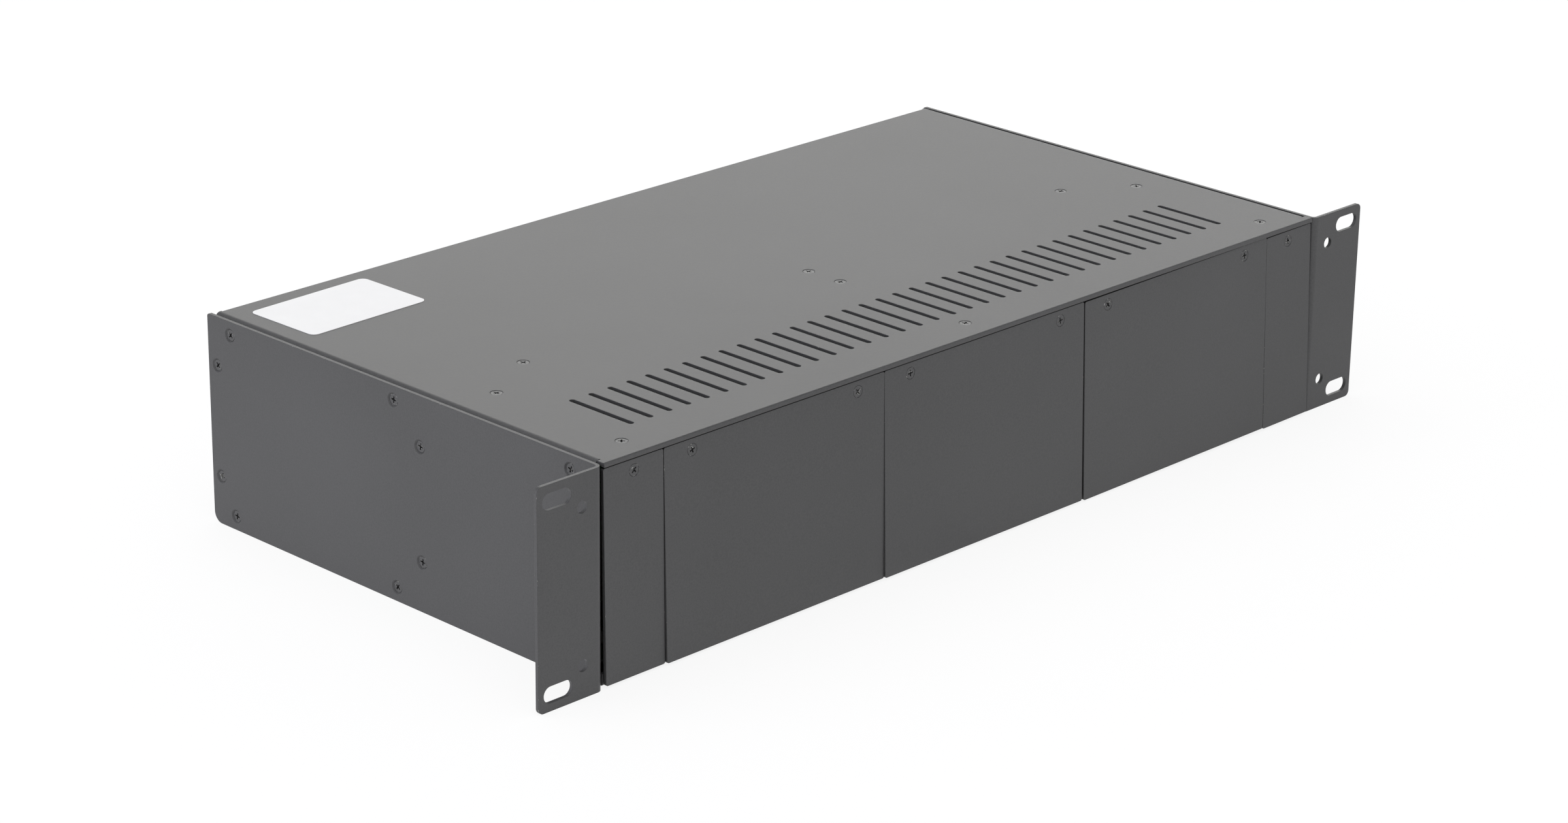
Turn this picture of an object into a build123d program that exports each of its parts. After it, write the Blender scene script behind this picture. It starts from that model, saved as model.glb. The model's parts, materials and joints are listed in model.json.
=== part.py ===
from build123d import *
import os
from math import radians, tan

# Media converter chassis, two rack units high, with its blanked card cage and two power supplies.
# The origin is the centre of the rack slot pattern, on the rear face of the ears.
# +X is right as seen from the front, +Y runs back into the rack, +Z is up. Lengths are in millimetres.
# A place named a row or a setback is a distance back from the front face of the ears.

# Rack ears and side plates: each side is one folded sheet
slot_spacing_x = 465.1
slot_spacing_z = 76.2
slot_length = 14.3
slot_width = 6.7
slot_to_ear_edge = 9.75
slot_to_ear_top = 6.7
slot_to_plate = 21.35
ear_hole_inward = 12.45
ear_hole_toward_middle = 6.6
ear_hole_diameter = 5.0
ear_corner = 2.5
plate_sheet = 1.5
plate_bend_inside = 1.5
plate_depth = 230.0
plate_low_corner = 4.5
plate_high_corner = 1.2

# Cover and tray
shell_sheet = 1.5
shell_bend_inside = 1.0
shell_clearance = 0.5
shell_rear_setback = 2.7
shell_flange = 14.0
shell_flange_start = 5.0
cover_rise = 0.4
tray_rise = 0.6
corner_relief = 0.6
lip_bend_inside = 0.3
lip_bend_outside = 0.8
cover_lip_height = 1.8
cover_lip_setback = 0.5
tray_lip_height = 4.9
tray_lip_overlap = 0.7
rear_lip_height = 5.0

# Vent slots in the cover and the tray
vent_count = 36
vent_inset = 36.45
vent_width = 2.5
vent_length = 34.6
vent_row = 40.0

# Bays and the blanks that close them
bay_end_room = 1.8
blank_sheet = 1.5
blank_corner = 0.8
blank_gap = 0.3
blank_end_cover = 0.8
blank_top_gap = 2.1
blank_bottom_gap = 1.1
blank_setback = 1.2
blank_screw_drop = 4.5
hook_width = 10.0
hook_sheet = 1.2
hook_depth = 2.5
hook_clearance = 0.3
blank_bay_counts = (1, 4, 4, 4, 1)
# name, lean in degrees, turn in degrees, sideways shift
blanks = [
    ("blank_narrow_left", 0.9, 0.0, 0.0),
    ("blank_wide_left", 1.5, 0.0, 0.05),
    ("blank_wide_middle", 2.0, 0.0, -0.15),
    ("blank_wide_right", 2.1, 0.3, 0.25),
    ("blank_narrow_right", 2.1, 0.4, 0.05),
]

# Guide plates, above and below the bays
guide_sheet = 1.2
guide_bend_inside = 0.3
guide_end_gap = 3.7
guide_to_bulkhead = 7.3
guide_window_start = 20.0
guide_window_to_rear = 18.0
guide_window_width = 22.0
guide_fin_start = 9.0
guide_fin_to_rear = 2.0
upper_rail_below_screw = 2.5
upper_fin_height = 14.0
lower_deck_height = 5.0
lower_deck_setback = 8.0
lower_foot = 10.0
lower_fin_height = 8.0
guide_screw_to_rear = 5.8

# Bulkhead, backplane board and its plugs
bulkhead_flange = 10.0
side_flange_gap = 1.3
side_flange_clearance = 0.05
side_flange_lap = 6.0
bulkhead_side_flange = 11.5
bulkhead_window_width = 20.0
bulkhead_window_height = 6.0
bulkhead_window_drop = 9.5
board_sheet = 1.6
board_end_gap = 7.7
board_inside_flanges = 0.5
standoff_diameter = 6.0
standoff_length = 6.9
standoff_spigot_wall = 0.5
standoff_edges = (1, 7, 13)
standoff_to_board_edge = 5.0
plug_to_board_edge = 11.0
plug_base = 9.0
plug_base_depth = 5.0
plug_barrel_diameter = 5.5
plug_barrel_length = 9.5
plug_bore = 2.1
plug_bore_floor = 0.5

# Rear panel
rear_panel_recess = 9.5
rear_flange = 5.5
rear_vent_count = 24
rear_vent_pitch = 8.0
rear_vent_width = 3.0
rear_vent_height = 45.0

# Mains inlets
inlet_inset = 44.7
inlet_z = 0.0
inlet_flange_width = 50.0
inlet_flange_height = 22.4
inlet_flange_sheet = 3.0
inlet_flange_corner = 5.0
inlet_body_width = 27.2
inlet_body_height = 20.2
inlet_body_corner = 2.0
inlet_depth = 21.5
inlet_fit = 0.15
inlet_wall_x = 1.5
inlet_wall_z = 1.9
inlet_floor = 5.5
inlet_cavity_chamfer = 4.5
inlet_screw_to_edge = 5.0
blade_width = 2.0
blade_height = 4.0
blade_spacing = 7.0
blade_offset = 2.0
blade_recess = 4.8
blade_tab = 6.0
blade_fit = 0.02

# Power supplies
supply_inset = 104.7
supply_to_bulkhead = 16.7
supply_to_rear_panel = 28.5
supply_length = 150.0
supply_width = 80.0
supply_wall = 30.0
supply_sheet = 1.5
supply_bend_inside = 0.5
supply_foot_inset_x = 15.0
supply_foot_inset_y = 14.0
supply_board_margin = 5.0
supply_boss_height = 6.0
supply_boss_diameter = 7.0
supply_boss_inset = 5.0
transformer_length = 40.0
transformer_width = 34.0
transformer_height = 26.0
transformer_chamfer = 2.0
transformer_y = 8.0
transformer_to_capacitor = 6.5
winding_length = 26.0
winding_width = 40.0
winding_height = 19.0
capacitor_diameter = 25.0
capacitor_height = 28.0
capacitor_y = 12.0
capacitor_to_terminal = 3.5
capacitor_rim = 1.2
capacitor_groove = 0.9
capacitor_groove_height = 3.0
heatsink_length = 56.0
heatsink_height = 24.0
heatsink_base = 3.0
heatsink_to_board_edge = 2.5
heatsink_fin = 1.5
heatsink_fin_count = 5
heatsink_fin_depth = 9.0
terminal_to_board_end = 10.0
terminal_pitch = 9.5
terminal_depth = 13.0
terminal_height = 14.0
terminal_wall = 1.2
terminal_step = 7.0
mains_poles = 3
mains_terminal_to_board_edge = 0.15
direct_poles = 2
direct_terminal_y = -12.0

# Wires held inside
mains_wire = 2.4
mains_wire_bend = 7.0
mains_wire_lead = 6.0
mains_wire_drop = 9.0
direct_wire = 2.8
direct_wire_bend = 10.0
direct_wire_height = 4.0
direct_wire_spread = 5.7
direct_wire_hole = 16.0

# Earth stud on the rear panel
earth_to_inlet = 47.0
earth_z = -28.0
earth_stud_diameter = 4.0
earth_stud_length = 10.5
earth_stud_chamfer = 0.5
earth_stud_head = 7.0
earth_stud_head_height = 1.5
earth_nut_width = 7.0
earth_nut_height = 3.2
earth_nut_gap = 0.1

# Screws, M3 throughout
shank_radius = 1.5
thread_gap = 0.02
hole_clearance = 0.15
head_clearance = 0.05
flat_head_radius = 2.45
pan_head_radius = 2.8
pan_head_height = 2.0
pan_head_round = 0.8
recess_width = 0.6
recess_span = 2.7
recess_depth = 0.7
recess_turns = (45, 20, 38, 5, 10, 42, 4, 8, 15)
head_sink = 0.15
side_head_sink = 0.5
short_screw = 4.5
tray_screw = 4.0
blank_screw = 5.0
inlet_screw = 7.0
pan_screw = 6.0

# Screw places
guide_screw_inset = 21.4
bulkhead_screw_inset = 51.3
bulkhead_screw_back = 5.0
outer_side_screw_drop = 5.9
outer_side_screw_front = 16.3
outer_side_screw_past_bulkhead = 20.7
outer_side_screw_to_rear = 14.2
inner_side_screw_to_flange_end = 5.6
inner_side_screw_past_bulkhead = 5.5
inner_side_screw_past_rear_panel = 4.1

# Label on the cover
label_inset = 41.0
label_to_cover_rear = 28.1
label_length = 60.0
label_width = 39.0
label_corner = 3.0
label_sheet = 0.15
label_turn = 1.3

# Sizes and planes that follow
front = -plate_sheet
half_height = slot_spacing_z / 2 + slot_to_ear_top
plate_outside = slot_spacing_x / 2 - slot_to_plate
plate_inside = plate_outside - plate_sheet
ear_outside = slot_spacing_x / 2 + slot_to_ear_edge
shell_depth = plate_depth - shell_rear_setback
shell_half_width = plate_inside - shell_clearance
cover_top = half_height + cover_rise
cover_under = cover_top - shell_sheet
tray_bottom = -half_height + tray_rise
tray_floor = tray_bottom + shell_sheet
bay_count = sum(blank_bay_counts)
bay_pitch = 2 * (plate_inside - bay_end_room) / bay_count
blank_top = half_height - blank_top_gap
blank_height = blank_top + half_height - blank_bottom_gap
blank_back = blank_setback + blank_sheet
blank_screw_height = blank_top - blank_screw_drop
tray_lip_setback = blank_back - tray_lip_overlap
tray_lip_top = tray_bottom + tray_lip_height
rear_panel_row = plate_depth - rear_panel_recess
bulkhead_row = rear_panel_row - supply_to_rear_panel - supply_width - supply_to_bulkhead
guide_half_width = plate_inside - guide_end_gap
guide_rear = bulkhead_row - guide_to_bulkhead
lower_deck_top = tray_floor + lower_deck_height
side_flange_end = half_height - shell_flange - side_flange_gap
board_half_width = plate_inside - board_end_gap
board_half_height = side_flange_end - board_inside_flanges
board_back = front + bulkhead_row - standoff_length
board_front = board_back - board_sheet
standoff_height = board_half_height - standoff_to_board_edge
plug_height = plug_to_board_edge - board_half_height
inlet_x = plate_inside - inlet_inset
earth_x = earth_to_inlet - inlet_x
supply_x = plate_inside - supply_inset
supply_y = front + bulkhead_row + supply_to_bulkhead + supply_width / 2
supply_board_length = supply_length - 2 * supply_board_margin
supply_board_width = supply_width - 2 * supply_board_margin
supply_board_top = tray_floor + supply_sheet + supply_boss_height + board_sheet
terminal_x = supply_board_length / 2 - terminal_to_board_end - terminal_depth / 2
mains_terminal_length = mains_poles * terminal_pitch + terminal_wall
mains_terminal_y = (supply_board_width - mains_terminal_length) / 2 - mains_terminal_to_board_edge
capacitor_x = terminal_x - (terminal_depth + capacitor_diameter) / 2 - capacitor_to_terminal
transformer_x = capacitor_x - (capacitor_diameter + transformer_length) / 2 - transformer_to_capacitor
wire_seat = supply_board_top + terminal_step
hole_radius = shank_radius + hole_clearance
outer_side_screw_z = half_height - outer_side_screw_drop
inner_side_screw_z = side_flange_end - inner_side_screw_to_flange_end


def block(x0, x1, y0, y1, z0, z1):
    """Box between two corners."""
    return Pos((x0 + x1) / 2, (y0 + y1) / 2, (z0 + z1) / 2) * Box(x1 - x0, y1 - y0, z1 - z0)


def post(radius, height):
    """Cylinder standing on its origin."""
    return Pos(0, 0, height / 2) * Cylinder(radius, height)


def run(plane, profile, low, high):
    """Profile drawn in a plane, extruded between two places along the axis across it."""
    forward = plane.z_dir.X + plane.z_dir.Y + plane.z_dir.Z > 0
    start = plane.offset(low if forward else -high)
    return extrude(start * profile, high - low)


def folded(plane, corners, bend_inside, sheet, low, high):
    """Sheet folded along corners, which follow the middle of its thickness."""
    path = FilletPolyline(*corners, radius=bend_inside + sheet / 2)
    return run(plane, trace(path, sheet), low, high)


def facing(x, y, z, outward):
    """Frame at a point, whose Z axis runs outward."""
    return Plane(origin=(x, y, z), z_dir=outward).location


def cut_all(body, cutters):
    """Body less every cutter, taken away in one step."""
    return body - list(cutters)


def mirrored(body):
    return mirror(body, about=Plane.YZ)


def bay_centre(bay):
    return (bay - (bay_count - 1) / 2) * bay_pitch


def bay_edge(edge):
    return (edge - bay_count / 2) * bay_pitch


def cross_recess():
    """Cross-shaped driver recess below the origin."""
    arm = Pos(0, 0, -recess_depth / 2) * Box(recess_span, recess_width, recess_depth)
    heart_width = 2 * recess_width
    heart = Pos(0, 0, -recess_depth / 2) * Rot(0, 0, 45) * Box(heart_width, heart_width, recess_depth)
    return arm + Rot(0, 0, 90) * arm + heart


def flat_screw(length, sink, turn):
    """Countersunk screw along -Z, its head sunk below the origin and its end at the given length."""
    cone_height = flat_head_radius - shank_radius
    head = Pos(0, 0, -sink - cone_height / 2) * Cone(shank_radius, flat_head_radius, cone_height)
    shank = Pos(0, 0, -length) * post(shank_radius, length - sink)
    return head + shank - Pos(0, 0, -sink) * Rot(0, 0, turn) * cross_recess()


def flat_screws(frames, length, sink):
    """One countersunk screw in each frame, their recesses turned this way and that."""
    turned = [flat_screw(length, sink, turn) for turn in recess_turns]
    return [frame * turned[i % len(turned)] for i, frame in enumerate(frames)]


def pan_screw_body():
    """Pan head screw along -Z, its head seated on the origin."""
    head = post(pan_head_radius, pan_head_height)
    head = fillet(head.edges().sort_by(Axis.Z)[-1], pan_head_round)
    shank = Pos(0, 0, -pan_screw) * post(shank_radius, pan_screw)
    return head + shank - Pos(0, 0, pan_head_height) * cross_recess()


def sunk_cone(bottom_radius, sink):
    """Cutter for the seat of a flat head: a cone below the origin, down to a given radius."""
    top_radius = flat_head_radius + sink + head_clearance
    height = top_radius - bottom_radius
    return Pos(0, 0, -height / 2) * Cone(bottom_radius, top_radius, height)


def countersink(sheet, sink):
    """Cutter for a countersunk clearance hole through a sheet below the origin."""
    return sunk_cone(hole_radius, sink) + Pos(0, 0, -2 * sheet) * post(hole_radius, 2 * sheet)


def tap(depth, sink):
    """Cutter for the tapped hole under a flat head whose sheet starts at the origin."""
    radius = shank_radius + thread_gap
    return sunk_cone(radius, sink) + Pos(0, 0, -depth) * post(radius, depth)


def cover_screw_spots():
    """Screw places of the cover and, mirrored, of the tray, as X and Y."""
    rows = (lower_deck_setback + lower_foot / 2, guide_rear - guide_screw_to_rear)
    guide_x = plate_inside - guide_screw_inset
    bulkhead_x = plate_inside - bulkhead_screw_inset
    spots = [(x, front + row) for row in rows for x in (-guide_x, 0.0, guide_x)]
    bulkhead_y = front + bulkhead_row + bulkhead_screw_back
    return spots + [(x, bulkhead_y) for x in (-bulkhead_x, 0.0, bulkhead_x)]


def supply_foot_spots():
    """Screw places of the two supply brackets, as X and Y."""
    reach_x = supply_length / 2 - supply_foot_inset_x
    reach_y = supply_width / 2 - supply_foot_inset_y
    return [(side * supply_x + sx * reach_x, supply_y + sy * reach_y)
            for side in (-1, 1) for sx in (-1, 1) for sy in (-1, 1)]


def outer_side_spots():
    """Side screws that hold the flanges of the cover and the tray, as Y and Z."""
    rows = (outer_side_screw_front, bulkhead_row + outer_side_screw_past_bulkhead,
            plate_depth - outer_side_screw_to_rear)
    return [(front + row, sign * outer_side_screw_z) for row in rows for sign in (-1, 1)]


def bulkhead_side_spots():
    y = front + bulkhead_row + inner_side_screw_past_bulkhead
    return [(y, sign * inner_side_screw_z) for sign in (-1, 1)]


def rear_side_spots():
    y = front + rear_panel_row + inner_side_screw_past_rear_panel
    return [(y, sign * inner_side_screw_z) for sign in (-1, 1)]


def side_screw_spots():
    return outer_side_spots() + bulkhead_side_spots() + rear_side_spots()


def side_taps(spots, depth):
    """Tapped holes of side screws, in both sides of the chassis."""
    cutters = [facing(plate_outside, y, z, (1, 0, 0)) * tap(depth, side_head_sink) for y, z in spots]
    return cutters + [mirrored(cutter) for cutter in cutters]


def cover_taps(depth):
    return [facing(x, y, cover_top, (0, 0, 1)) * tap(depth, head_sink) for x, y in cover_screw_spots()]


def tray_taps(depth, spots):
    return [facing(x, y, tray_bottom, (0, 0, -1)) * tap(depth, head_sink) for x, y in spots]


def make_side_plate():
    """Right side plate and its rack ear, one sheet folded outward at the front."""
    middle = plate_inside + plate_sheet / 2
    corners = [(middle, front + plate_depth), (middle, front / 2), (ear_outside, front / 2)]
    plate = folded(Plane.XY, corners, plate_bend_inside, plate_sheet, -half_height, half_height)
    plate = fillet(plate.edges().filter_by(Axis.Y).group_by(Axis.X)[-1], ear_corner)
    for end, radius in ((0, plate_low_corner), (-1, plate_high_corner)):
        rear_edges = plate.edges().filter_by(Axis.X).group_by(Axis.Y)[-1].sort_by(Axis.Z)
        plate = fillet(rear_edges[end], radius)
    slot = run(Plane.XZ, SlotOverall(slot_length, slot_width), 2 * front, plate_sheet)
    hole = Cylinder(ear_hole_diameter / 2, 4 * plate_sheet)
    hole_x = slot_spacing_x / 2 - ear_hole_inward
    hole_z = slot_spacing_z / 2 - ear_hole_toward_middle
    cutters = []
    for sign in (-1, 1):
        cutters.append(Pos(slot_spacing_x / 2, 0, sign * slot_spacing_z / 2) * slot)
        cutters.append(facing(hole_x, 0, sign * hole_z, (0, -1, 0)) * hole)
    for y, z in side_screw_spots():
        cutters.append(facing(plate_outside, y, z, (1, 0, 0)) * countersink(plate_sheet, side_head_sink))
    return cut_all(plate, cutters)


def end_lip(half_width, outer, inner, height):
    """Front or rear end of the cover or tray: the last of the floor, and a short flange bent up from it."""
    wall = outer + shell_sheet if inner > outer else outer - shell_sheet
    inside = min(lip_bend_inside, (height - shell_sheet) / 2)
    edge = block(-half_width, half_width, min(outer, inner), max(outer, inner), 0, shell_sheet)
    edge += block(-half_width, half_width, min(outer, wall), max(outer, wall), 0, height)
    long_edges = edge.edges().filter_by(Axis.X)
    edge = fillet(long_edges.sort_by_distance((0, wall, shell_sheet))[0], inside)
    long_edges = edge.edges().filter_by(Axis.X)
    return fillet(long_edges.sort_by_distance((0, outer, 0))[0], lip_bend_outside)


def shell(lip_height, lip_setback, screw_spots):
    """Open box with its outer face at Z 0: side flanges and the lips at both ends point up.

    The side flanges start behind the front lip, and run past the ends of the rear one."""
    middle = shell_sheet / 2
    side = shell_half_width - middle
    rear = front + shell_depth
    flanged_from = front + shell_flange_start
    channel = [(-side, shell_flange), (-side, middle), (side, middle), (side, shell_flange)]
    body = folded(Plane.XZ, channel, shell_bend_inside, shell_sheet, flanged_from, rear)
    body += end_lip(shell_half_width - corner_relief, front + lip_setback, flanged_from, lip_height)
    bend_start = shell_half_width - shell_sheet - shell_bend_inside
    rear_half_width = bend_start - corner_relief
    lipped_from = rear - 2 * shell_sheet
    body -= block(-rear_half_width, rear_half_width, lipped_from, rear, 0, shell_sheet)
    body += end_lip(rear_half_width, rear, lipped_from, rear_lip_height)
    slit = block(bend_start, shell_half_width, flanged_from - corner_relief, flanged_from, 0, shell_sheet)
    cutters = vent_cutters() + [slit, mirrored(slit)]
    cutters += [facing(x, y, 0, (0, 0, -1)) * countersink(shell_sheet, head_sink) for x, y in screw_spots]
    return cut_all(body, cutters)


def vent_cutters():
    slot = run(Plane.XY, Rot(0, 0, 90) * SlotOverall(vent_length, vent_width), -shell_sheet, 2 * shell_sheet)
    first = vent_inset - plate_inside
    pitch = -2 * first / (vent_count - 1)
    return [Pos(first + i * pitch, front + vent_row, 0) * slot for i in range(vent_count)]


def make_cover():
    box = shell(cover_lip_height, cover_lip_setback, cover_screw_spots())
    turned = Pos(0, 0, cover_top) * mirror(box, about=Plane.XY)
    return cut_all(turned, side_taps(outer_side_spots(), short_screw))


def make_tray():
    box = shell(tray_lip_height, tray_lip_setback, cover_screw_spots() + supply_foot_spots())
    return cut_all(Pos(0, 0, tray_bottom) * box, side_taps(outer_side_spots(), short_screw))


def blank_places():
    """For each blank: its name, frame, the X place of its middle, width, screws' X places and lean.

    The frame's origin is on the back face, at the middle of the top edge."""
    places = []
    first = 0
    for bays, (name, lean, turn, shift) in zip(blank_bay_counts, blanks):
        low = bay_edge(first) - (blank_end_cover if first == 0 else 0)
        high = bay_edge(first + bays) + (blank_end_cover if first + bays == bay_count else 0)
        middle = (low + high) / 2 + shift
        frame = Pos(middle, front + blank_back, blank_top) * Rot(-lean, 0, 0) * Rot(0, -turn, 0)
        screws = [bay_centre(bay) for bay in sorted({first, first + bays - 1})]
        places.append((name, frame, middle, high - low - blank_gap, screws, lean))
        first += bays
    return places


def blank_screw_frames(frame, middle, screws):
    """Frames on a blank's front face, at its screws."""
    return [frame * facing(x - middle, -blank_sheet, -blank_screw_drop, (0, -1, 0)) for x in screws]


def make_blank(frame, middle, width, screws, lean):
    """Flat blank with countersunk holes near its top and welded hooks for the tray's lip."""
    outline = Pos(0, -blank_height / 2) * RectangleRounded(width, blank_height, blank_corner)
    plate = frame * run(Plane.XZ, outline, -blank_sheet, 0)
    seats = [spot * countersink(blank_sheet, head_sink) for spot in blank_screw_frames(frame, middle, screws)]
    blank = cut_all(plate, seats)
    back_here = front + blank_back - (blank_top - tray_lip_top) * tan(radians(lean))
    leg_front = front + tray_lip_setback + shell_sheet + hook_clearance
    leg_back = leg_front + hook_sheet
    arm_bottom = tray_lip_top + hook_clearance
    arm_top = arm_bottom + hook_sheet
    for x in screws:
        low, high = x - hook_width / 2, x + hook_width / 2
        blank += block(low, high, back_here - blank_sheet / 2, leg_back, arm_bottom, arm_top)
        blank += block(low, high, leg_front, leg_back, tray_lip_top - hook_depth, arm_top)
    return blank


def make_blank_screws():
    frames = [spot for _, frame, middle, _, screws, _ in blank_places()
              for spot in blank_screw_frames(frame, middle, screws)]
    return flat_screws(frames, blank_screw, head_sink)


def rail_cutters():
    """Tapped holes of the front rail: in line with each blank screw, and straight in the bays between."""
    cutter = tap(blank_back + guide_sheet + blank_screw, head_sink)
    cutters = []
    used = []
    for _, frame, middle, _, screws, _ in blank_places():
        cutters += [spot * cutter for spot in blank_screw_frames(frame, middle, screws)]
        used += screws
    free = [bay_centre(bay) for bay in range(bay_count) if bay_centre(bay) not in used]
    return cutters + [facing(x, front + blank_setback, blank_screw_height, (0, -1, 0)) * cutter for x in free]


def guide_windows(z0, z1):
    half = guide_window_width / 2
    limit = guide_half_width - guide_sheet - half
    y0, y1 = front + guide_window_start, front + guide_rear - guide_window_to_rear
    centres = [max(-limit, min(limit, bay_centre(bay))) for bay in range(bay_count)]
    return [block(x - half, x + half, y0, y1, z0, z1) for x in centres]


def guide_fins(z0, z1):
    """Fins at each edge between bays, and at both ends of a guide plate."""
    end = guide_half_width - guide_sheet / 2
    places = [-end] + [bay_edge(edge) for edge in range(1, bay_count)] + [end]
    y0, y1 = front + guide_fin_start, front + guide_rear - guide_fin_to_rear
    return [block(x - guide_sheet / 2, x + guide_sheet / 2, y0, y1, z0, z1) for x in places]


def make_upper_guide():
    """Plate under the cover with a fin at each bay edge; its front flange is the rail for blank screws."""
    z = cover_under - guide_sheet / 2
    y = front + blank_back + thread_gap + guide_sheet / 2
    corners = [(front + guide_rear, z), (y, z), (y, blank_screw_height - upper_rail_below_screw)]
    plate = folded(Plane.YZ, corners, guide_bend_inside, guide_sheet, -guide_half_width, guide_half_width)
    plate = cut_all(plate, guide_windows(cover_under - 2 * guide_sheet, cover_under + guide_sheet))
    plate += guide_fins(cover_under - upper_fin_height, z)
    reach = 2 * pan_head_radius
    low, high = cover_top - 2 * short_screw, cover_under - guide_sheet
    room = [block(x - reach, x + reach, y - reach, y + reach, low, high) for x, y in cover_screw_spots()]
    return cut_all(plate, rail_cutters() + cover_taps(short_screw) + room)


def make_lower_guide():
    """Deck above the tray on two folded feet, with a fin at each bay edge."""
    deck = lower_deck_top - guide_sheet / 2
    foot = tray_floor + guide_sheet / 2
    y0 = front + lower_deck_setback + guide_sheet / 2
    y1 = front + guide_rear - guide_sheet / 2
    front_foot = [(y0 + lower_foot, foot), (y0, foot), (y0, deck)]
    rear_foot = [(y1, deck), (y1, foot), (y1 - lower_foot, foot)]
    plate = folded(Plane.YZ, front_foot + rear_foot, guide_bend_inside, guide_sheet,
                   -guide_half_width, guide_half_width)
    plate = cut_all(plate, guide_windows(lower_deck_top - 2 * guide_sheet, lower_deck_top + guide_sheet))
    plate += guide_fins(deck, lower_deck_top + lower_fin_height)
    return cut_all(plate, tray_taps(tray_screw + guide_sheet, cover_screw_spots()))


def pan_wall(face, flange, side_reach):
    """Wall across the chassis whose front face is at face, with flanges folded back on all four sides."""
    web = face + guide_sheet / 2
    top = cover_under - guide_sheet / 2
    bottom = tray_floor + guide_sheet / 2
    corners = [(face + flange, top), (web, top), (web, bottom), (face + flange, bottom)]
    wall = folded(Plane.YZ, corners, guide_bend_inside, guide_sheet, -guide_half_width, guide_half_width)
    middle = plate_inside - side_flange_clearance - guide_sheet / 2
    corners = [(guide_half_width - side_flange_lap, web), (middle, web), (middle, web + side_reach)]
    side = folded(Plane.XY, corners, guide_bend_inside, guide_sheet, -side_flange_end, side_flange_end)
    return wall + side + mirrored(side)


def standoff_spots():
    return [(bay_edge(edge), sign * standoff_height) for edge in standoff_edges for sign in (-1, 1)]


def make_bulkhead():
    face = front + bulkhead_row
    wall = pan_wall(face, bulkhead_flange, bulkhead_side_flange)
    cutters = side_taps(bulkhead_side_spots(), 2 * short_screw)
    cutters += cover_taps(2 * short_screw) + tray_taps(2 * short_screw, cover_screw_spots())
    half = bulkhead_window_width / 2
    high = cover_under - bulkhead_window_drop + bulkhead_window_height / 2
    low = high - bulkhead_window_height
    y0, y1 = face - guide_sheet, face + 2 * guide_sheet
    centres = [bay_centre(bay) for bay in range(bay_count)]
    cutters += [block(x - half, x + half, y0, y1, low, high) for x in centres]
    spigot = Cylinder(shank_radius + standoff_spigot_wall + thread_gap, 4 * guide_sheet)
    cutters += [facing(x, face, z, (0, 1, 0)) * spigot for x, z in standoff_spots()]
    hole = Cylinder(direct_wire_hole / 2, 4 * guide_sheet)
    for side in (-1, 1):
        cutters.append(facing(side * (supply_x - terminal_x), face, direct_wire_height, (0, 1, 0)) * hole)
    return cut_all(wall, cutters)


def make_standoffs():
    """Round standoffs on the bulkhead, each with a spigot in the sheet and a tapped bore."""
    standoff = post(standoff_diameter / 2, standoff_length)
    standoff += Pos(0, 0, standoff_length) * post(shank_radius + standoff_spigot_wall, guide_sheet)
    standoff -= post(shank_radius + thread_gap, pan_screw)
    return [facing(x, board_back, z, (0, 1, 0)) * standoff for x, z in standoff_spots()]


def make_board_screws():
    screw = pan_screw_body()
    return [facing(x, board_front, z, (0, -1, 0)) * screw for x, z in standoff_spots()]


def make_backplane():
    board = block(-board_half_width, board_half_width, board_front, board_back,
                  -board_half_height, board_half_height)
    hole = Cylinder(hole_radius, 4 * board_sheet)
    return cut_all(board, [facing(x, board_back, z, (0, 1, 0)) * hole for x, z in standoff_spots()])


def make_dc_plug(bay):
    """Direct-current plug on the backplane, pointing to the front, with a hollow barrel."""
    base = Pos(0, 0, plug_base_depth / 2) * Box(plug_base, plug_base, plug_base_depth)
    base = chamfer(base.edges().filter_by(Axis.Z), plug_base / 6)
    barrel = Pos(0, 0, plug_base_depth) * post(plug_barrel_diameter / 2, plug_barrel_length)
    bore = Pos(0, 0, plug_base_depth + plug_bore_floor) * post(plug_bore / 2, plug_barrel_length)
    return facing(bay_centre(bay), board_front, plug_height, (0, -1, 0)) * (base + barrel - bore)


def inlet_frame(side):
    """Frame of a mains inlet: origin on the rear panel's outer face, Z axis out of the chassis."""
    face = Plane(origin=(side * inlet_x, front + rear_panel_row, inlet_z), x_dir=(-1, 0, 0), z_dir=(0, 1, 0))
    return face.location


def inlet_screw_offsets():
    reach = inlet_flange_width / 2 - inlet_screw_to_edge
    return (-reach, reach)


def make_rear_panel():
    face = front + rear_panel_row - guide_sheet
    wall = pan_wall(face, rear_flange, rear_panel_recess)
    cutters = side_taps(rear_side_spots(), 2 * short_screw)
    slot = run(Plane.XZ, Rot(0, 0, 90) * SlotOverall(rear_vent_height, rear_vent_width),
               face - guide_sheet, face + 2 * guide_sheet)
    first = -(rear_vent_count - 1) * rear_vent_pitch / 2
    cutters += [Pos(first + i * rear_vent_pitch, 0, 0) * slot for i in range(rear_vent_count)]
    opening = RectangleRounded(inlet_body_width + 2 * inlet_fit, inlet_body_height + 2 * inlet_fit,
                               inlet_body_corner + inlet_fit)
    thread = Cylinder(shank_radius + thread_gap, 4 * guide_sheet)
    for side in (-1, 1):
        frame = inlet_frame(side)
        cutters.append(frame * Pos(0, 0, -2 * guide_sheet) * extrude(opening, 4 * guide_sheet))
        cutters += [frame * Pos(x, 0, 0) * thread for x in inlet_screw_offsets()]
    stud = Cylinder(earth_stud_diameter / 2 + thread_gap, 4 * guide_sheet)
    cutters.append(facing(earth_x, face, earth_z, (0, 1, 0)) * stud)
    return cut_all(wall, cutters)


def blade_spots():
    """Line, earth and neutral, as seen from behind the chassis: earth sits above the other two."""
    return [(-blade_spacing, -blade_offset), (0.0, blade_offset), (blade_spacing, -blade_offset)]


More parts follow.
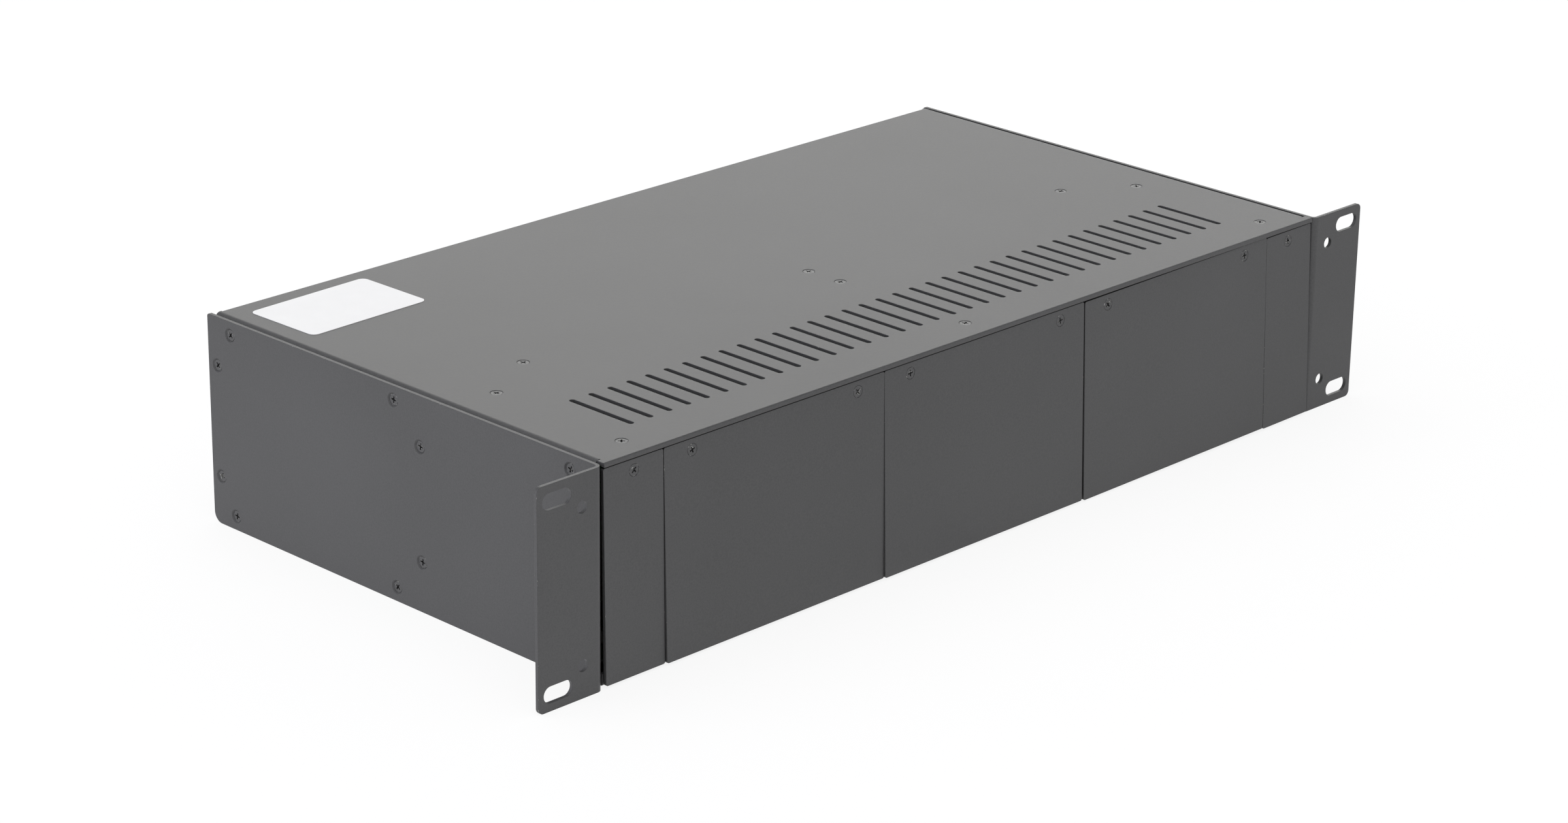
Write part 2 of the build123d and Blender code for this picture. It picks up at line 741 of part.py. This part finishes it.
def blade_ends():
    """How far a blade reaches into the socket and behind the inlet, along the inlet's axis."""
    return inlet_flange_sheet - blade_recess, inlet_flange_sheet - inlet_depth - blade_tab


def make_inlet(side):
    """Mains inlet with an open socket, two chamfered corners on top, and a flange for two screws."""
    flange_outline = RectangleRounded(inlet_flange_width, inlet_flange_height, inlet_flange_corner)
    body_outline = RectangleRounded(inlet_body_width, inlet_body_height, inlet_body_corner)
    depth = inlet_depth - inlet_flange_sheet
    inlet = extrude(flange_outline, inlet_flange_sheet) + Pos(0, 0, -depth) * extrude(body_outline, depth)
    cavity = Rectangle(inlet_body_width - 2 * inlet_wall_x, inlet_body_height - 2 * inlet_wall_z)
    cavity = chamfer(cavity.vertices().group_by(Axis.Y)[-1], inlet_cavity_chamfer)
    cutters = [Pos(0, 0, inlet_floor - depth) * extrude(cavity, inlet_depth)]
    blade = Box(blade_width + 2 * blade_fit, blade_height + 2 * blade_fit, 3 * inlet_depth)
    cutters += [Pos(x, y, 0) * blade for x, y in blade_spots()]
    seat = Pos(0, 0, inlet_flange_sheet) * countersink(inlet_flange_sheet, head_sink)
    cutters += [Pos(x, 0, 0) * seat for x in inlet_screw_offsets()]
    return inlet_frame(side) * cut_all(inlet, cutters)


def make_inlet_blades(side):
    tip, tab = blade_ends()
    blade = Pos(0, 0, (tip + tab) / 2) * Box(blade_width, blade_height, tip - tab)
    return [inlet_frame(side) * Pos(x, y, 0) * blade for x, y in blade_spots()]


def make_inlet_screws():
    frames = [inlet_frame(side) * Pos(x, 0, inlet_flange_sheet) for side in (-1, 1) for x in inlet_screw_offsets()]
    return flat_screws(frames, inlet_screw, head_sink)


def supply_frame(side):
    """Frame of a power supply: origin on the middle of its board's top face, X axis to the side plate."""
    board = Plane(origin=(side * supply_x, supply_y, supply_board_top), x_dir=(side, 0, 0), z_dir=(0, 0, 1))
    return board.location


def supply_boss_spots():
    reach_x = supply_board_length / 2 - supply_boss_inset
    reach_y = supply_board_width / 2 - supply_boss_inset
    return [(x, y) for x in (-reach_x, reach_x) for y in (-reach_y, reach_y)]


def make_supply_bracket(side):
    """Channel of sheet on the tray with four bosses for the board."""
    z = tray_floor + supply_sheet / 2
    reach = (supply_width - supply_sheet) / 2
    corners = [(supply_y - reach, z + supply_wall), (supply_y - reach, z),
               (supply_y + reach, z), (supply_y + reach, z + supply_wall)]
    low = side * supply_x - supply_length / 2
    bracket = folded(Plane.YZ, corners, supply_bend_inside, supply_sheet, low, low + supply_length)
    boss_top = supply_sheet + supply_boss_height
    bore_depth = pan_screw - board_sheet + supply_bend_inside
    boss = post(supply_boss_diameter / 2, boss_top)
    bore = Pos(0, 0, boss_top - bore_depth) * post(shank_radius + thread_gap, bore_depth)
    spots = [Pos(side * supply_x + x, supply_y + y, tray_floor) for x, y in supply_boss_spots()]
    bracket += [spot * boss for spot in spots]
    cutters = [spot * bore for spot in spots]
    return cut_all(bracket, cutters + tray_taps(short_screw + supply_sheet, supply_foot_spots()))


def make_supply_board(side):
    board = Pos(0, 0, -board_sheet / 2) * Box(supply_board_length, supply_board_width, board_sheet)
    hole = Cylinder(hole_radius, 4 * board_sheet)
    return supply_frame(side) * cut_all(board, [Pos(x, y, 0) * hole for x, y in supply_boss_spots()])


def make_supply_screws():
    screw = pan_screw_body()
    return [supply_frame(side) * Pos(x, y, 0) * screw for side in (-1, 1) for x, y in supply_boss_spots()]


def make_transformer(side):
    """Ferrite core with its winding standing proud at both sides."""
    core = Pos(0, 0, transformer_height / 2) * Box(transformer_length, transformer_width, transformer_height)
    core = chamfer(core.edges().filter_by(Axis.Z), transformer_chamfer)
    winding = Pos(0, 0, transformer_height / 2) * Box(winding_length, winding_width, winding_height)
    winding = fillet(winding.edges().filter_by(Axis.X), winding_height / 4)
    return supply_frame(side) * Pos(transformer_x, transformer_y, 0) * (core + winding)


def make_capacitor(side):
    """Can standing on the board, with a groove near its foot."""
    can = post(capacitor_diameter / 2, capacitor_height)
    can = fillet(can.edges().group_by(Axis.Z)[-1], capacitor_rim)
    groove = Torus(capacitor_diameter / 2 + capacitor_groove / 2, capacitor_groove)
    can -= Pos(0, 0, capacitor_groove_height) * groove
    return supply_frame(side) * Pos(capacitor_x, capacitor_y, 0) * can


def make_heatsink(side):
    """Upright finned heatsink near the front edge of the board."""
    sink = block(-heatsink_length / 2, heatsink_length / 2, 0, heatsink_base, 0, heatsink_height)
    pitch = (heatsink_length - heatsink_fin) / (heatsink_fin_count - 1)
    for i in range(heatsink_fin_count):
        x = -heatsink_length / 2 + i * pitch
        sink += block(x, x + heatsink_fin, 0, heatsink_base + heatsink_fin_depth, 0, heatsink_height)
    return supply_frame(side) * Pos(0, heatsink_to_board_edge - supply_board_width / 2, 0) * sink


def pole_offset(pole, poles):
    return (pole - (poles - 1) / 2) * terminal_pitch


def terminal_block(poles):
    """Screw terminal block along Y, open at the top of each pole, its foot at Z 0."""
    length = poles * terminal_pitch + terminal_wall
    body = Pos(0, 0, terminal_height / 2) * Box(terminal_depth, length, terminal_height)
    pocket = Box(terminal_depth - 2 * terminal_wall, terminal_pitch - terminal_wall, terminal_height)
    pocket = Pos(0, 0, terminal_step + terminal_height / 2) * pocket
    return cut_all(body, [Pos(0, pole_offset(i, poles), 0) * pocket for i in range(poles)])


def make_terminals(side):
    """Mains block near the side plate and output block near the middle of the chassis."""
    frame = supply_frame(side)
    return [frame * Pos(terminal_x, mains_terminal_y, 0) * terminal_block(mains_poles),
            frame * Pos(-terminal_x, direct_terminal_y, 0) * terminal_block(direct_poles)]


def wire(points, bend, diameter):
    """Round wire along straight runs joined by tangent arcs."""
    path = FilletPolyline(*points, radius=bend)
    start = Plane(origin=path @ 0, z_dir=path % 0)
    return sweep(start * Circle(diameter / 2), path=path)


def make_mains_wires(side):
    """Three wires from the blades' tabs, down into the poles of the mains block."""
    tab_y = front + rear_panel_row + blade_ends()[1]
    landing_x = side * (supply_x + terminal_x)
    wires = []
    for i, (blade_x, blade_z) in enumerate(blade_spots()):
        x = side * inlet_x - blade_x
        z = inlet_z + blade_z
        y = supply_y + mains_terminal_y + pole_offset(i, mains_poles)
        points = [(x, tab_y, z), (x, tab_y - mains_wire_lead, z),
                  (landing_x, y, wire_seat + mains_wire_drop), (landing_x, y, wire_seat)]
        wires.append(wire(points, mains_wire_bend, mains_wire))
    return wires


def make_direct_wires(side):
    """Two wires from the output block, one above the other through the bulkhead, to the backplane."""
    x = side * (supply_x - terminal_x)
    wires = []
    for i in range(direct_poles):
        y = supply_y + direct_terminal_y + pole_offset(i, direct_poles)
        z = direct_wire_height + (i - (direct_poles - 1) / 2) * direct_wire_spread
        wires.append(wire([(x, y, wire_seat), (x, y, z), (x, board_back, z)], direct_wire_bend, direct_wire))
    return wires


def make_side_screws():
    frames = [facing(plate_outside, y, z, (1, 0, 0)) for y, z in side_screw_spots()]
    return flat_screws(frames, short_screw, side_head_sink)


def make_cover_screws():
    frames = [facing(x, y, cover_top, (0, 0, 1)) for x, y in cover_screw_spots()]
    return flat_screws(frames, short_screw, head_sink)


def make_tray_screws():
    spots = cover_screw_spots() + supply_foot_spots()
    return flat_screws([facing(x, y, tray_bottom, (0, 0, -1)) for x, y in spots], tray_screw, head_sink)


def make_earth_stud():
    """Threaded stud with a flat head inside the rear panel."""
    stud = post(earth_stud_diameter / 2, earth_stud_length)
    stud = chamfer(stud.edges().group_by(Axis.Z)[-1], earth_stud_chamfer)
    head = Pos(0, 0, -earth_stud_head_height) * post(earth_stud_head / 2, earth_stud_head_height)
    return facing(earth_x, front + rear_panel_row - guide_sheet, earth_z, (0, 1, 0)) * (head + stud)


def make_earth_nuts():
    """Two hexagon nuts on the stud: one against the panel, one to clamp a lug."""
    nut = extrude(RegularPolygon(earth_nut_width / 2, 6, major_radius=False), earth_nut_height)
    nut -= post(earth_stud_diameter / 2 + thread_gap, earth_nut_height)
    face = facing(earth_x, front + rear_panel_row, earth_z, (0, 1, 0))
    return [face * nut, face * Pos(0, 0, earth_nut_height + earth_nut_gap) * nut]


def make_label():
    """Bare label on the cover, a little turned."""
    outline = extrude(RectangleRounded(label_length, label_width, label_corner), label_sheet)
    y = front + shell_depth - label_to_cover_rear
    return Pos(label_inset - plate_inside, y, cover_top) * Rot(0, 0, label_turn) * outline


def as_shape(made):
    """One shape from a solid or a list of separate solids."""
    return Compound(children=made) if isinstance(made, list) else made


side_plate = make_side_plate()
side_screws = make_side_screws()
nodes = {
    "side_plate_right": side_plate,
    "side_plate_left": mirrored(side_plate),
    "top_cover": make_cover(),
    "base_tray": make_tray(),
    "rear_panel": make_rear_panel(),
    "bulkhead": make_bulkhead(),
    "upper_guide_plate": make_upper_guide(),
    "lower_guide_plate": make_lower_guide(),
    "backplane_board": make_backplane(),
    "board_standoffs": make_standoffs(),
    "board_screws": make_board_screws(),
    "blank_screws": make_blank_screws(),
    "side_screws_right": side_screws,
    "side_screws_left": [mirrored(screw) for screw in side_screws],
    "cover_screws": make_cover_screws(),
    "tray_screws": make_tray_screws(),
    "supply_screws": make_supply_screws(),
    "inlet_screws": make_inlet_screws(),
    "earth_stud": make_earth_stud(),
    "earth_nuts": make_earth_nuts(),
    "rating_label": make_label(),
}
for name, frame, middle, width, screws, lean in blank_places():
    nodes[name] = make_blank(frame, middle, width, screws, lean)
for bay in range(bay_count):
    nodes[f"dc_plug_{bay + 1:02d}"] = make_dc_plug(bay)
for name, side in (("left", -1), ("right", 1)):
    nodes[f"supply_bracket_{name}"] = make_supply_bracket(side)
    nodes[f"supply_board_{name}"] = make_supply_board(side)
    nodes[f"supply_transformer_{name}"] = make_transformer(side)
    nodes[f"supply_capacitor_{name}"] = make_capacitor(side)
    nodes[f"supply_heatsink_{name}"] = make_heatsink(side)
    nodes[f"supply_terminals_{name}"] = make_terminals(side)
    nodes[f"mains_inlet_{name}"] = make_inlet(side)
    nodes[f"inlet_blades_{name}"] = make_inlet_blades(side)
    nodes[f"mains_wires_{name}"] = make_mains_wires(side)
    nodes[f"direct_wires_{name}"] = make_direct_wires(side)
os.makedirs("parts", exist_ok=True)
for name, made in nodes.items():
    export_step(as_shape(made), f"parts/{name}.step")
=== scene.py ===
"""Looks of the media converter chassis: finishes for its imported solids, and the studio around it.

Lengths are in metres, angles in degrees, and a texture's scale is in features per metre.
"""
import json
from math import cos, radians, sin

import bpy
from mathutils import Matrix, Vector


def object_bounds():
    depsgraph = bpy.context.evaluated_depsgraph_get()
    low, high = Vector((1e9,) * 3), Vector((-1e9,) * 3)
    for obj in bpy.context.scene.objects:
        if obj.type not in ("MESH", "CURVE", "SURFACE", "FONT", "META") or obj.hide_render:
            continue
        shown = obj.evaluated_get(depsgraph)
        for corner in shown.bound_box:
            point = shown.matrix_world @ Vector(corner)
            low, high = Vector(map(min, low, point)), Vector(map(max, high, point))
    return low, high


# Camera at the photograph's viewing angle, with lens and sensor in millimetres
camera_place = (-1.1563, -1.0182, 0.5952)
camera_azimuth = 45.654
camera_elevation = 20.847
camera_roll = 0.766
camera_lens = 94.38
camera_sensor = 36.0
camera_nearest = 0.01

# Floor: its own glow where it is seen, and how that fades along X where it only shows in gloss
floor_reach = 12.0
floor_colour = (0.9, 0.9, 0.9)
floor_glow = 0.86
gloss_bright_x = -0.1
gloss_bright = 1.0
gloss_dim_x = 0.45
gloss_dim = 0.7

# Backdrop: white up to one elevation, and as dark as the ceiling from another
backdrop_white = (1.0, 1.0, 1.0)
backdrop_low = 24
backdrop_high = 46
ceiling_tone = 0.1
fill_colour = (0.55, 0.55, 0.575)

# Lamps: name, direction to the lamp, strength, spread, colour, whether gloss shows it
lamps = [
    ("overhead_lamp", (-0.35, -0.05, 1.0), 1.75, 90, (1.0, 1.0, 0.97), False),
    ("left_lamp", (-0.9, 0.6, 0.15), 1.0, 50, (0.86, 0.88, 1.15), False),
    ("back_lamp", (0.667, 0.654, 0.357), 0.4, 40, (1.0, 1.0, 0.96), True),
]

# Fine matt powder coat, on the sheet and on the screws that were coated with it
coat_dark = (0.048, 0.048, 0.049)
coat_pale = (0.069, 0.069, 0.0705)
# Near-black painted shade, laid into the coat and the coated screws where gaps and recesses shut out light
coat_painted_shade = (0.012, 0.012, 0.012)
coat_speck = (0.32, 0.32, 0.3)
coat_grain = 1500.0
coat_grain_share = 0.75
coat_peel = 420.0
coat_cloud = 11.0
speck_scale = 1100.0
speck_group_scale = 30.0
screw_grain = 2400.0
screw_glint = (0.6, 0.6, 0.58)
screw_glint_scale = 650.0
screw_recess_reach = 0.0006
edge_round = 0.0003

# Powder-coated slots, with how far the painted shade in their gaps reaches
coated_slots = {
    "side_plate": 0.005,
    "shell": 0.001,
    "blank": 0.006,
    "rear_panel": 0.003,
}

# Metal slots: darkest and palest colour, least and greatest roughness
metal_slots = {
    "plated_screw": ((0.5, 0.5, 0.48), (0.62, 0.62, 0.6), 0.2, 0.32),
    "standoff_brass": ((0.55, 0.4, 0.14), (0.66, 0.5, 0.2), 0.18, 0.28),
    "contact_brass": ((0.6, 0.52, 0.36), (0.7, 0.64, 0.5), 0.2, 0.3),
    "bracket_aluminium": ((0.6, 0.61, 0.62), (0.7, 0.71, 0.72), 0.34, 0.44),
}
metal_cloud = 700.0
metal_fine = 5200.0

# Moulded, printed and anodised slots: darkest and palest colour, mean roughness
moulded_slots = {
    "heatsink_black": ((0.012, 0.012, 0.013), (0.02, 0.02, 0.022), 0.42),
    "label": ((0.715, 0.715, 0.715), (0.73, 0.73, 0.73), 0.5),
    "circuit_board": ((0.012, 0.075, 0.028), (0.02, 0.11, 0.04), 0.3),
    "black_plastic": ((0.012, 0.012, 0.012), (0.02, 0.02, 0.021), 0.45),
    "transformer_tape": ((0.5, 0.36, 0.05), (0.6, 0.45, 0.08), 0.35),
    "capacitor_sleeve": ((0.012, 0.016, 0.035), (0.02, 0.024, 0.05), 0.25),
    "terminal_plastic": ((0.02, 0.12, 0.045), (0.03, 0.16, 0.06), 0.45),
    "mains_wire": ((0.09, 0.035, 0.015), (0.12, 0.05, 0.02), 0.4),
    "direct_wire": ((0.35, 0.015, 0.01), (0.45, 0.025, 0.015), 0.4),
}
moulded_texture = 1800.0
moulded_cloud = 90.0
moulded_variation = 0.06

# Zinc-plated sheet, whose rolling marks run along X
zinc_dark = (0.52, 0.53, 0.52)
zinc_pale = (0.62, 0.63, 0.61)
zinc_cloud = 45.0
zinc_marks = 60.0
zinc_stretch = (1.0, 18.0, 18.0)


class Nodes:
    """Node tree of a material or world, with short ways to add nodes and join them."""

    def __init__(self, owner, space="Object"):
        """Clears the owner's tree; space names the coordinates that its nodes start from."""
        owner.use_nodes = True
        self.tree = owner.node_tree
        self.tree.nodes.clear()
        self.place = self.add("TexCoord", output=space)

    def add(self, kind, inputs=None, output=0, **settings):
        """Adds a node and gives one of its outputs; an input is a number, a colour or another output."""
        node = self.tree.nodes.new("ShaderNode" + kind)
        for key, value in settings.items():
            setattr(node, key, value)
        for key, value in (inputs or {}).items():
            socket = node.inputs[key]
            if isinstance(value, bpy.types.NodeSocket):
                self.tree.links.new(value, socket)
            elif socket.type == "RGBA":
                socket.default_value = (*value, 1.0)
            else:
                socket.default_value = value
        return node.outputs[output] if len(node.outputs) else None

    def math(self, operation, first, second):
        return self.add("Math", {0: first, 1: second}, operation=operation)

    def noise(self, scale, detail=2.0, roughness=0.5, at=None):
        """Noise over the object's coordinates, or over those given."""
        inputs = {"Vector": at or self.place, "Scale": scale, "Detail": detail, "Roughness": roughness}
        return self.add("TexNoise", inputs)

    def spread(self, value, low, high, to_low=0.0, to_high=1.0, **settings):
        """Value taken from the range low to high to another range, held at its ends."""
        return self.add("MapRange", {0: value, 1: low, 2: high, 3: to_low, 4: to_high}, **settings)

    def blend(self, share, first, second):
        """Colour between two colours."""
        return self.add("Mix", {0: share, 6: first, 7: second}, output=2, data_type="RGBA")

    def bump(self, height, depth, strength, normal=None):
        """Normal pushed by a height, on the face's own normal or on the one given."""
        inputs = {"Height": height, "Distance": depth, "Strength": strength}
        if normal:
            inputs["Normal"] = normal
        return self.add("Bump", inputs)

    def edge(self, rounded):
        """1 where a rounded normal leaves its flat face."""
        flat = self.add("NewGeometry", output="True Normal")
        along = self.add("VectorMath", {0: rounded, 1: flat}, output="Value", operation="DOT_PRODUCT")
        return self.spread(along, low=0.99, high=0.93)

    def shade_mask(self, reach, open_at, shut_at):
        """1 deep in gaps and recesses, where shade falls: 0 where the share open to light is open_at, 1
        where it is shut_at.
        """
        light = self.add("AmbientOcclusion", {"Distance": reach}, output="AO", samples=8)
        return self.spread(light, low=open_at, high=shut_at)

    def shade(self, colour, roughness, normal, metallic=0.0):
        """Ends a material's tree with its shader."""
        inputs = {"Base Color": colour, "Metallic": metallic, "Roughness": roughness, "Normal": normal}
        self.add("OutputMaterial", {"Surface": self.add("BsdfPrincipled", inputs)})

    def seen_directly(self):
        """1 for rays that show the background itself: camera, glossy and transmission rays."""
        rays = ("Is Camera Ray", "Is Glossy Ray", "Is Transmission Ray")
        camera, glossy, through = (self.add("LightPath", output=ray) for ray in rays)
        return self.math("MAXIMUM", self.math("MAXIMUM", camera, glossy), through)


def powder_coat(f, shade_reach):
    """Fine matt powder coat: a fine grain, painted shade in its gaps, and rounded edges with a few pale
    specks.
    """
    rounded = f.add("Bevel", {"Radius": edge_round}, samples=6)
    grain = f.noise(coat_grain, detail=3.0, roughness=0.65)
    peel = f.noise(coat_peel)
    cloud = f.noise(coat_cloud, detail=3.0)
    fine = f.math("MULTIPLY", grain, coat_grain_share)
    broad = f.math("MULTIPLY", cloud, 1.0 - coat_grain_share)
    colour = f.blend(f.spread(f.math("ADD", fine, broad), low=0.35, high=0.65), coat_dark, coat_pale)
    specks = f.spread(f.noise(speck_scale, detail=1.0), low=0.69, high=0.72)
    groups = f.spread(f.noise(speck_group_scale, detail=1.0), low=0.5, high=0.56)
    bare = f.math("MULTIPLY", f.math("MULTIPLY", specks, groups), f.edge(rounded))
    colour = f.blend(bare, colour, coat_speck)
    # Painted shade: the coat turns near black where gaps and recesses shut out light
    colour = f.blend(f.shade_mask(shade_reach, open_at=0.4, shut_at=0.15), colour, coat_painted_shade)
    normal = f.bump(peel, depth=0.00004, strength=0.4, normal=rounded)
    normal = f.bump(grain, depth=0.000015, strength=0.6, normal=normal)
    f.shade(colour, f.spread(grain, low=0.3, high=0.7, to_low=0.4, to_high=0.5), normal)


def coated_screw(f):
    """Screw in the coat's own tone, with painted shade in its recess and bare metal glinting here and there.
    """
    rounded = f.add("Bevel", {"Radius": edge_round}, samples=8)
    # Where shade falls in the recess: it takes the painted shade, and bare metal glints in it here and there
    recess = f.shade_mask(screw_recess_reach, open_at=0.9, shut_at=0.7)
    glints = f.spread(f.noise(screw_glint_scale), low=0.56, high=0.62)
    bare = f.math("MULTIPLY", f.math("MAXIMUM", f.edge(rounded), recess), glints)
    grain = f.noise(screw_grain, detail=3.0, roughness=0.65)
    colour = f.blend(f.spread(grain, low=0.35, high=0.65), coat_dark, coat_pale)
    # Painted shade in the recess
    colour = f.blend(recess, colour, coat_painted_shade)
    colour = f.blend(bare, colour, screw_glint)
    rough = f.spread(grain, low=0.3, high=0.7, to_low=0.3, to_high=0.4)
    f.shade(colour, rough, f.bump(grain, depth=0.00001, strength=0.5, normal=rounded), metallic=bare)


def plated_sheet(f):
    """Bright zinc plate with faint rolling marks."""
    along = f.add("Mapping", {"Vector": f.place, "Scale": zinc_stretch})
    marks = f.noise(zinc_marks, detail=4.0, roughness=0.7, at=along)
    cloud = f.noise(zinc_cloud, detail=3.0)
    colour = f.blend(f.spread(cloud, low=0.35, high=0.65), zinc_dark, zinc_pale)
    rough = f.spread(marks, low=0.3, high=0.7, to_low=0.3, to_high=0.42)
    f.shade(colour, rough, f.bump(marks, depth=0.00001, strength=0.3), metallic=1.0)


def turned_metal(f, dark, pale, least_rough, most_rough):
    """Plated or turned metal of small parts, mottled by its plating."""
    cloud = f.noise(metal_cloud, detail=4.0, roughness=0.65)
    colour = f.blend(f.spread(cloud, low=0.35, high=0.65), dark, pale)
    rough = f.spread(f.noise(metal_fine), low=0.3, high=0.7, to_low=least_rough, to_high=most_rough)
    f.shade(colour, rough, f.bump(cloud, depth=0.00001, strength=0.3), metallic=1.0)


def moulded(f, dark, pale, roughness):
    """Moulded, printed or anodised surface with a fine, even texture."""
    grain = f.noise(moulded_texture, detail=3.0, roughness=0.6)
    colour = f.blend(f.spread(f.noise(moulded_cloud), low=0.3, high=0.7), dark, pale)
    smooth, matt = roughness - moulded_variation, roughness + moulded_variation
    rough = f.spread(grain, low=0.3, high=0.7, to_low=smooth, to_high=matt)
    f.shade(colour, rough, f.bump(grain, depth=0.00002, strength=0.4))


def make_finishes():
    """One material for each material slot of the record."""
    made = {}

    def finish(slot, recipe, *values):
        made[slot] = bpy.data.materials.new(slot)
        recipe(Nodes(made[slot]), *values)

    for slot, shade_reach in coated_slots.items():
        finish(slot, powder_coat, shade_reach)
    finish("plated_sheet", plated_sheet)
    finish("black_screw", coated_screw)
    for slot, values in metal_slots.items():
        finish(slot, turned_metal, *values)
    for slot, values in moulded_slots.items():
        finish(slot, moulded, *values)
    return made


def dress(frame):
    """Gives every node of the frame the material of its slot in the record."""
    finishes = make_finishes()
    for part in frame["record"]["subparts"]:
        piece = frame["nodes"][part["node"]]
        piece.data.materials.clear()
        piece.data.materials.append(finishes[part["material_slot"]])


def make_camera():
    """Camera that looks along its azimuth, from +Y towards +X, and down by its elevation."""
    azimuth, elevation, roll = (radians(v) for v in (camera_azimuth, camera_elevation, camera_roll))
    forward = Vector((sin(azimuth) * cos(elevation), cos(azimuth) * cos(elevation), -sin(elevation)))
    level = Vector((cos(azimuth), -sin(azimuth), 0.0))
    upright = level.cross(forward)
    right = level * cos(roll) + upright * sin(roll)
    up = right.cross(forward)
    lens = bpy.data.cameras.new("photo_camera")
    lens.lens = camera_lens
    lens.sensor_width = camera_sensor
    lens.clip_start = camera_nearest
    camera = bpy.data.objects.new("photo_camera", lens)
    turned = Matrix((right, up, -forward)).transposed().to_4x4()
    camera.matrix_world = Matrix.Translation(camera_place) @ turned
    bpy.context.scene.collection.objects.link(camera)
    bpy.context.scene.camera = camera


def make_world():
    """Where it is seen, a white backdrop that darkens to the ceiling; elsewhere, an even fill light."""
    world = bpy.data.worlds.new("studio")
    w = Nodes(world, space="Generated")
    height = w.add("SeparateXYZ", {0: w.place}, output="Z")
    low, high = sin(radians(backdrop_low)), sin(radians(backdrop_high))
    fade = w.spread(height, low, high, to_low=1.0, to_high=ceiling_tone, interpolation_type="SMOOTHSTEP")
    fill = w.add("Background", {"Color": fill_colour})
    backdrop = w.add("Background", {"Color": backdrop_white, "Strength": fade})
    w.add("OutputWorld", {"Surface": w.add("MixShader", {0: w.seen_directly(), 1: fill, 2: backdrop})})
    bpy.context.scene.world = world


def make_floor(level):
    """Pale floor at the height that the chassis stands on, which keeps its shadow faintly."""
    corners = [(x * floor_reach, y * floor_reach, level) for x, y in ((-1, -1), (1, -1), (1, 1), (-1, 1))]
    mesh = bpy.data.meshes.new("floor")
    mesh.from_pydata(corners, [], [(0, 1, 2, 3)])
    floor = bpy.data.objects.new("floor", mesh)
    bpy.context.scene.collection.objects.link(floor)
    material = bpy.data.materials.new("floor")
    f = Nodes(material)
    across = f.add("SeparateXYZ", {0: f.place}, output="X")
    gloss = f.spread(across, gloss_bright_x, gloss_dim_x, to_low=gloss_bright, to_high=gloss_dim)
    strength = f.math("MAXIMUM", gloss, f.add("LightPath", output="Is Camera Ray"))
    share = f.math("MULTIPLY", f.seen_directly(), floor_glow)
    paint = f.add("BsdfDiffuse", {"Color": floor_colour})
    white = f.add("Emission", {"Strength": strength})
    f.add("OutputMaterial", {"Surface": f.add("MixShader", {0: share, 1: paint, 2: white})})
    mesh.materials.append(material)


def make_lamps():
    """Soft suns; those that gloss doesn't show leave the coat's sheen to the backdrop."""
    for name, direction, strength, spread, colour, in_gloss in lamps:
        light = bpy.data.lights.new(name, "SUN")
        light.energy = strength
        light.angle = radians(spread)
        light.color = colour
        lamp = bpy.data.objects.new(name, light)
        lamp.visible_glossy = in_gloss
        lamp.rotation_euler = Vector(direction).to_track_quat("Z", "Y").to_euler()
        bpy.context.scene.collection.objects.link(lamp)


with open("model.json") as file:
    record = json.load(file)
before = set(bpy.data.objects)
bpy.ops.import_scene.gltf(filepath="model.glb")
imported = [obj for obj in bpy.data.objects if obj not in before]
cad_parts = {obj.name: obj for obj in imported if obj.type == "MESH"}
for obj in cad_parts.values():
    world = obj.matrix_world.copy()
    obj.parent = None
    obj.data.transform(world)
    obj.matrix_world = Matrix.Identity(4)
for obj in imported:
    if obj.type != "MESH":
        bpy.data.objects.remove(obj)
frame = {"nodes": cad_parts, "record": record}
cad_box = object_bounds()
bpy.context.scene.view_settings.view_transform = "Standard"
make_camera()
make_world()
make_floor(cad_box[0][2])
make_lamps()
dress(frame)
